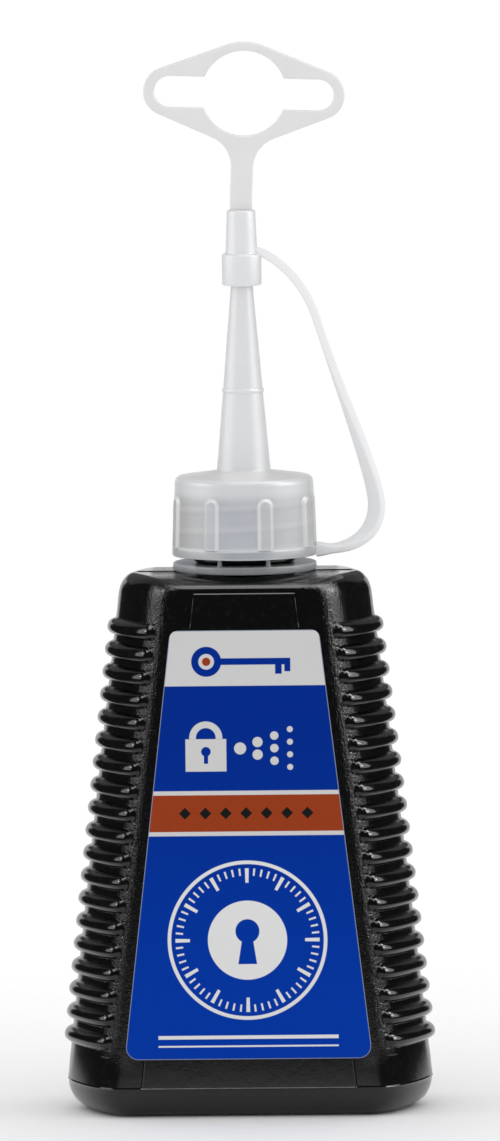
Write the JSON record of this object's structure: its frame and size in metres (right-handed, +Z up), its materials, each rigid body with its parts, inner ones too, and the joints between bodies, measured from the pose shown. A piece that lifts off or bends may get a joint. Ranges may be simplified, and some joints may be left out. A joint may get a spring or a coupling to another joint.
{
  "type": "graphite lock lubricant bottle",
  "caption": "Flat tapered squeeze bottle with ribbed grip sides, holding graphite powder, with a screw-on nozzle cap, a strapped tip cap and a hanging tag.",
  "frame": {"origin": "on the bottle's axis, on the surface that it stands on", "axes": "+Z up the bottle and nozzle, -Y out of the labelled front, +X towards the strap"},
  "size_m": [0.0618, 0.0338, 0.1786],
  "materials": {
    "black_plastic": "satin black, fine moulded grain",
    "label_film": "smooth printed film",
    "graphite_powder": "dry dark grey powder",
    "milky_plastic": "milky translucent, waxy",
    "white_plastic": "off-white, waxy"
  },
  "bodies": {
    "bottle": {"bottle": "black_plastic", "front_label": "label_film", "graphite_fill": "graphite_powder"},
    "tamper_ring": {"tamper_ring": "milky_plastic"},
    "cap": {"nozzle_cap": "milky_plastic", "cap_strap": "milky_plastic"},
    "tip_cap": {"tip_cap": "milky_plastic", "hanger_tag": "white_plastic"}
  },
  "joints": [
    {"name": "cap_turn", "type": "hinge", "parent": "bottle", "child": "tamper_ring", "pos_m": [0, 0, 0.0928], "axis": [0, 0, 1], "range_deg": [0, 720]},
    {"name": "cap_lift", "type": "slide", "parent": "tamper_ring", "child": "cap", "axis": [0, 0, 1], "range_m": [0, 0.0072]},
    {"name": "tip_cap_pull", "type": "slide", "parent": "cap", "child": "tip_cap", "axis": [0, 0, 1], "range_m": [0, 0.012], "deforming": ["cap_strap"]}
  ],
  "couplings": [
    {"joint": "cap_lift", "follows": "cap_turn", "m_per_rad": 0.00057296}
  ]
}
